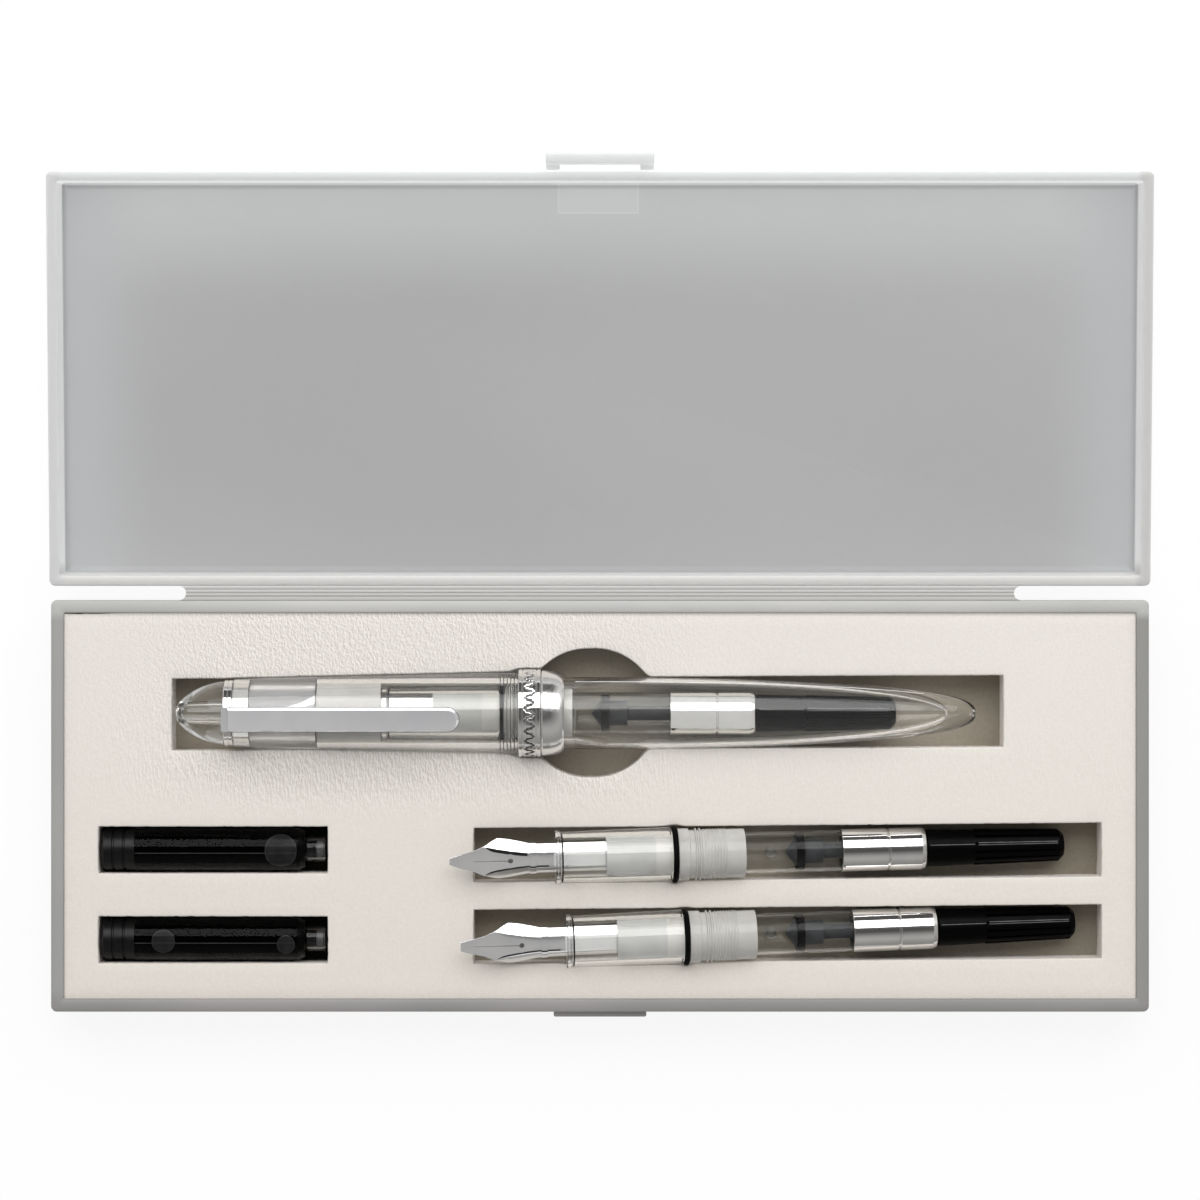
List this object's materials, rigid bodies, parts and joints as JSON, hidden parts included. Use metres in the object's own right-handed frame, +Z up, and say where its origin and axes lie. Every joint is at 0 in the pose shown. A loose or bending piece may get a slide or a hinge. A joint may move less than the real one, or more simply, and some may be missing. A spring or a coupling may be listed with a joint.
{
  "type": "calligraphy set box",
  "caption": "Hinged translucent plastic case, open flat, whose cut foam insert holds a capped clear fountain pen, spare nib units with converters and ink cartridges.",
  "frame": {"origin": "centre of the tray's flat underside", "axes": "+Z up, +X along the case's length towards the pen's barrel end, +Y from the front catch across the hinge to the open lid"},
  "size_m": [0.1884, 0.1478, 0.022],
  "materials": {
    "box_plastic": "satin",
    "lid_plastic": "satin",
    "hinge_plastic": "satin",
    "foam": "matte",
    "pad": "matte",
    "clear_plastic": "gloss",
    "frosted_plastic": "satin",
    "chrome": "polished",
    "black_rubber": "satin",
    "seal_rubber": "satin",
    "black_plastic": "gloss",
    "rod_plastic": "gloss",
    "shell_plastic": "gloss",
    "ink": "gloss"
  },
  "bodies": {
    "base": {"base_tray": "box_plastic", "backing_pad": "pad", "living_hinge": "hinge_plastic"},
    "lid": {"lid_shell": "lid_plastic"},
    "latch": {"latch_tab": "hinge_plastic"},
    "foam": {"foam_insert": "foam"},
    "pen": {"pen_finial": "clear_plastic", "pen_clip_ring": "chrome", "pen_clip_bushing": "chrome", "pen_cap_shell": "clear_plastic", "pen_inner_cap": "frosted_plastic", "pen_cap_band": "chrome", "pen_barrel_shell": "clear_plastic", "pen_barrel_ring": "chrome", "pen_nib": "chrome", "pen_feed": "frosted_plastic", "pen_section": "clear_plastic", "pen_o_ring": "black_rubber", "pen_converter_tube": "clear_plastic", "pen_ferrule": "chrome"},
    "clip": {"pen_clip": "chrome"},
    "pen_knob": {"pen_knob": "black_plastic"},
    "pen_piston": {"pen_piston_seal": "seal_rubber", "pen_piston_rod": "rod_plastic"},
    "spare_1": {"spare_1_nib": "chrome", "spare_1_feed": "frosted_plastic", "spare_1_section": "clear_plastic", "spare_1_o_ring": "black_rubber", "spare_1_converter_tube": "clear_plastic", "spare_1_ferrule": "chrome"},
    "spare_1_knob": {"spare_1_knob": "black_plastic"},
    "spare_1_piston": {"spare_1_piston_seal": "seal_rubber", "spare_1_piston_rod": "rod_plastic", "spare_1_ball": "frosted_plastic"},
    "spare_2": {"spare_2_nib": "chrome", "spare_2_feed": "frosted_plastic", "spare_2_section": "clear_plastic", "spare_2_o_ring": "black_rubber", "spare_2_converter_tube": "clear_plastic", "spare_2_ferrule": "chrome"},
    "spare_2_knob": {"spare_2_knob": "black_plastic"},
    "spare_2_piston": {"spare_2_piston_seal": "seal_rubber", "spare_2_piston_rod": "rod_plastic", "spare_2_ball": "frosted_plastic"},
    "cartridge_1": {"cartridge_1_shell": "shell_plastic", "cartridge_1_ink": "ink", "cartridge_1_plug": "frosted_plastic"},
    "cartridge_2": {"cartridge_2_shell": "shell_plastic", "cartridge_2_ink": "ink", "cartridge_2_plug": "frosted_plastic"}
  },
  "joints": [
    {"name": "lid_hinge", "type": "hinge", "parent": "base", "child": "lid", "pos_m": [0, 0.03645, 0.0125], "axis": [1, 0, 0], "range_deg": [-5.2, 176], "deforming": ["living_hinge"]},
    {"name": "latch_flex", "type": "hinge", "parent": "lid", "child": "latch", "pos_m": [0, 0.10871, 0.01054], "axis": [-1, 0, 0], "range_deg": [0, 8], "stiffness_Nm_per_rad": 0.05},
    {"name": "foam_lift", "type": "slide", "parent": "base", "child": "foam", "axis": [0, 0, 1], "range_m": [0, 0.04]},
    {"name": "pen_lift", "type": "slide", "parent": "foam", "child": "pen", "axis": [0, 0, 1], "range_m": [0, 0.04]},
    {"name": "clip_flex", "type": "hinge", "parent": "pen", "child": "clip", "pos_m": [-0.0642, 0.0152, 0.01811], "axis": [0, -0.9925, -0.1219], "range_deg": [0, 2.5], "stiffness_Nm_per_rad": 0.3},
    {"name": "pen_knob_turn", "type": "hinge", "parent": "pen", "child": "pen_knob", "pos_m": [0, 0.0159, 0.0124], "axis": [1, 0, 0], "range_deg": [-901, 1981]},
    {"name": "pen_piston_slide", "type": "slide", "parent": "pen", "child": "pen_piston", "axis": [1, 0, 0], "range_m": [-0.005, 0.011]},
    {"name": "spare_1_lift", "type": "slide", "parent": "foam", "child": "spare_1", "axis": [0, 0, 1], "range_m": [0, 0.04]},
    {"name": "spare_1_knob_turn", "type": "hinge", "parent": "spare_1", "child": "spare_1_knob", "pos_m": [0.0127, -0.0083, 0.0127], "axis": [0.9969, 0.0209, -0.0759], "range_deg": [-1621, 1261]},
    {"name": "spare_1_piston_slide", "type": "slide", "parent": "spare_1", "child": "spare_1_piston", "axis": [0.9969, 0.0209, -0.0759], "range_m": [-0.009, 0.007]},
    {"name": "spare_2_lift", "type": "slide", "parent": "foam", "child": "spare_2", "axis": [0, 0, 1], "range_m": [0, 0.04]},
    {"name": "spare_2_knob_turn", "type": "hinge", "parent": "spare_2", "child": "spare_2_knob", "pos_m": [0.0146, -0.0224, 0.0127], "axis": [0.9966, 0.0313, -0.0759], "range_deg": [-1261, 1621]},
    {"name": "spare_2_piston_slide", "type": "slide", "parent": "spare_2", "child": "spare_2_piston", "axis": [0.9966, 0.0313, -0.0759], "range_m": [-0.007, 0.009]},
    {"name": "cartridge_1_lift", "type": "slide", "parent": "foam", "child": "cartridge_1", "axis": [0, 0, 1], "range_m": [0, 0.04]},
    {"name": "cartridge_2_lift", "type": "slide", "parent": "foam", "child": "cartridge_2", "axis": [0, 0, 1], "range_m": [0, 0.04]}
  ],
  "couplings": [
    {"joint": "pen_knob_turn", "follows": "pen_piston_slide", "rad_per_m": 3141.6},
    {"joint": "spare_1_knob_turn", "follows": "spare_1_piston_slide", "rad_per_m": 3141.6},
    {"joint": "spare_2_knob_turn", "follows": "spare_2_piston_slide", "rad_per_m": 3141.6}
  ]
}
